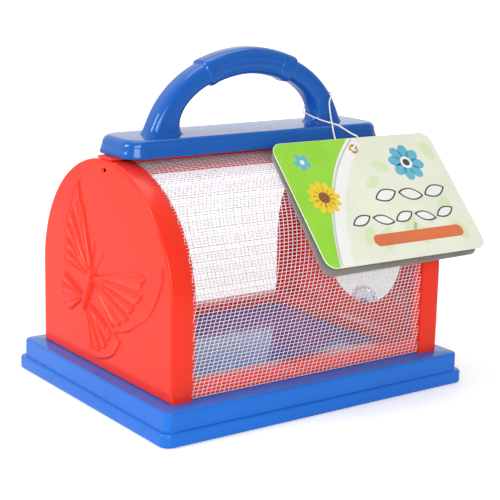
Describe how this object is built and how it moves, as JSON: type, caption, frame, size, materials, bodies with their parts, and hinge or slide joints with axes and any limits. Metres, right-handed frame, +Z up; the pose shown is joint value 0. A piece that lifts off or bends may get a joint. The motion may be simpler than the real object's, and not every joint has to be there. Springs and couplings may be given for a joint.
{
  "type": "insect cage",
  "caption": "Small barn-shaped insect cage: stepped base, round-topped end panels, netting over front, roof and back, swing door, carry handle and hang tag.",
  "frame": {"origin": "middle of the base's underside", "axes": "+X along the cage from the butterfly panel to the door panel, +Y from the tag's side to the back, +Z up"},
  "size_m": [0.19, 0.1466, 0.1684],
  "materials": {
    "blue_plastic": "moulded blue plastic, glossy",
    "red_plastic": "moulded red plastic, glossy",
    "white_net": "white open netting",
    "clear_plastic": "clear plastic",
    "lilac_plastic": "clear lilac plastic",
    "steel": "plated steel",
    "printed_card": "printed card",
    "plain_card": "plain card",
    "eyelet_brass": "brass",
    "white_string": "white twisted string"
  },
  "bodies": {
    "cage": {"base_tray": "blue_plastic", "left_end_panel": "red_plastic", "right_end_panel": "red_plastic", "front_rail": "red_plastic", "back_rail": "red_plastic", "left_hoop": "red_plastic", "right_hoop": "red_plastic", "net_screen": "white_net", "ridge_beam": "red_plastic", "saddle_bar": "red_plastic", "roof_cap": "blue_plastic", "carry_handle": "blue_plastic", "cap_screws": "steel", "handle_screws": "steel", "frame_screws": "steel", "base_screws": "steel", "door_pin": "steel", "door_washer": "steel", "tag_front_card": "printed_card", "tag_back_card": "plain_card", "tag_eyelet": "eyelet_brass", "tag_string": "white_string", "string_knot": "white_string"},
    "door": {"swing_door": "clear_plastic", "door_knob": "lilac_plastic"}
  },
  "joints": [
    {"name": "door_swing", "type": "hinge", "parent": "cage", "child": "door", "pos_m": [0.0818, 0, 0.101], "axis": [1, 0, 0], "range_deg": [-30, 150]}
  ]
}
